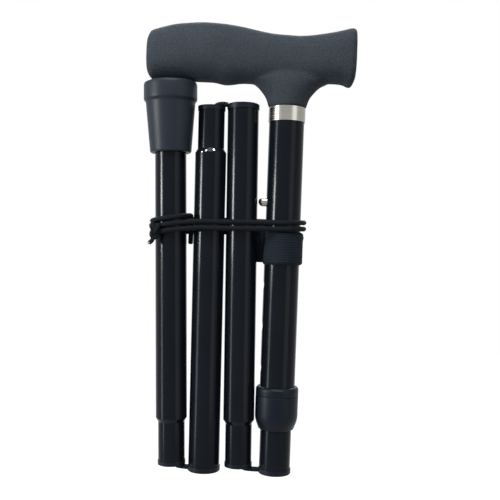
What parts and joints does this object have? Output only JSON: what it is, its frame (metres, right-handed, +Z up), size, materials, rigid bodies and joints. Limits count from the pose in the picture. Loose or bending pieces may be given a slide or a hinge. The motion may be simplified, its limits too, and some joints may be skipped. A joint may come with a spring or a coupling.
{
  "type": "folding walking cane",
  "caption": "Folded walking cane: tee grip on a height-adjustable shaft with snap button and lock nut, tube sections on an elastic cord, rubber tip and an elastic strap round the bundle.",
  "frame": {"origin": "middle of the folded cane's footprint, on the surface that it stands on", "axes": "+Z up along the shaft, +X towards the grip's toe, -Y towards the viewer of the picture"},
  "size_m": [0.1284, 0.0326, 0.2724],
  "materials": {
    "grip_rubber": "matte moulded grain",
    "core_plastic": "as moulded",
    "bright_steel": "bright, finely brushed",
    "steel": "plain",
    "black_tube": "gloss black coat",
    "black_plastic": "satin",
    "tip_rubber": "satin",
    "shock_elastic": "braided",
    "strap_elastic": "braided",
    "webbing": "ribbed elastic webbing"
  },
  "bodies": {
    "handle_shaft": {"handle_grip": "grip_rubber", "handle_core": "core_plastic", "handle_pin": "steel", "collar_ring": "bright_steel", "upper_tube": "black_tube", "lock_collet": "black_plastic", "strap_band": "webbing", "strap_cord": "strap_elastic"},
    "lock_nut": {"lock_nut": "black_plastic"},
    "height_tube": {"height_tube": "black_tube", "glide_bush": "black_plastic", "button_spring": "steel", "upper_cord_anchor": "black_plastic", "height_tube_mouth": "black_plastic", "shock_cord_upper": "shock_elastic"},
    "snap_button": {"snap_button": "bright_steel"},
    "upper_fold": {"shock_cord_upper_fold": "shock_elastic"},
    "second_section": {"second_tube": "black_tube", "second_spigot_cap": "black_plastic", "second_mouth": "black_plastic", "shock_cord_second": "shock_elastic"},
    "middle_fold": {"shock_cord_middle_fold": "shock_elastic"},
    "third_section": {"third_tube": "black_tube", "third_spigot_cap": "black_plastic", "third_mouth": "black_plastic", "shock_cord_third": "shock_elastic"},
    "lower_fold": {"shock_cord_lower_fold": "shock_elastic"},
    "bottom_section": {"bottom_tube": "black_tube", "bottom_spigot_cap": "black_plastic", "shock_cord_bottom": "shock_elastic", "lower_cord_anchor": "black_plastic", "rubber_tip": "tip_rubber", "tip_washer": "steel"}
  },
  "joints": [
    {"name": "lock_turn", "type": "hinge", "parent": "handle_shaft", "child": "lock_nut", "pos_m": [0.02382, 0, 0.0476], "axis": [0, 0, 1], "range_deg": [0, 270]},
    {"name": "height_adjust", "type": "slide", "parent": "handle_shaft", "child": "height_tube", "axis": [0, 0, -1], "range_m": [0, 0.1016], "deforming": ["snap_button"]},
    {"name": "button_press", "type": "slide", "parent": "height_tube", "child": "snap_button", "axis": [1, 0, 0], "range_m": [0, 0.0061], "stiffness_N_per_m": 400, "deforming": ["button_spring"]},
    {"name": "unfold", "type": "hinge", "parent": "height_tube", "child": "upper_fold", "pos_m": [0.01274, 0, 0.0015], "axis": [0, -1, 0], "range_deg": [0, 178.8], "deforming": ["shock_cord_upper_fold", "strap_cord"]},
    {"name": "seat_upper", "type": "slide", "parent": "upper_fold", "child": "second_section", "axis": [0.0209, 0, -0.9998], "range_m": [0, 0.02702]},
    {"name": "seat_middle", "type": "slide", "parent": "second_section", "child": "middle_fold", "axis": [0.0209, 0, -0.9998], "range_m": [0, 0.02686]},
    {"name": "unfold_middle", "type": "hinge", "parent": "middle_fold", "child": "third_section", "pos_m": [-0.0126, 0, 0.22315], "axis": [0, 1, 0], "range_deg": [0, 179.55], "deforming": ["shock_cord_middle_fold"]},
    {"name": "unfold_lower", "type": "hinge", "parent": "third_section", "child": "lower_fold", "pos_m": [-0.02912, 0, 0.00158], "axis": [0, -1, 0], "range_deg": [0, 178.55], "deforming": ["shock_cord_lower_fold"]},
    {"name": "seat_lower", "type": "slide", "parent": "lower_fold", "child": "bottom_section", "axis": [0.0384, 0, -0.9993], "range_m": [0, 0.02703]}
  ],
  "couplings": [
    {"joint": "unfold_middle", "follows": "unfold", "ratio": 1.0042},
    {"joint": "unfold_lower", "follows": "unfold", "ratio": 0.9986}
  ]
}
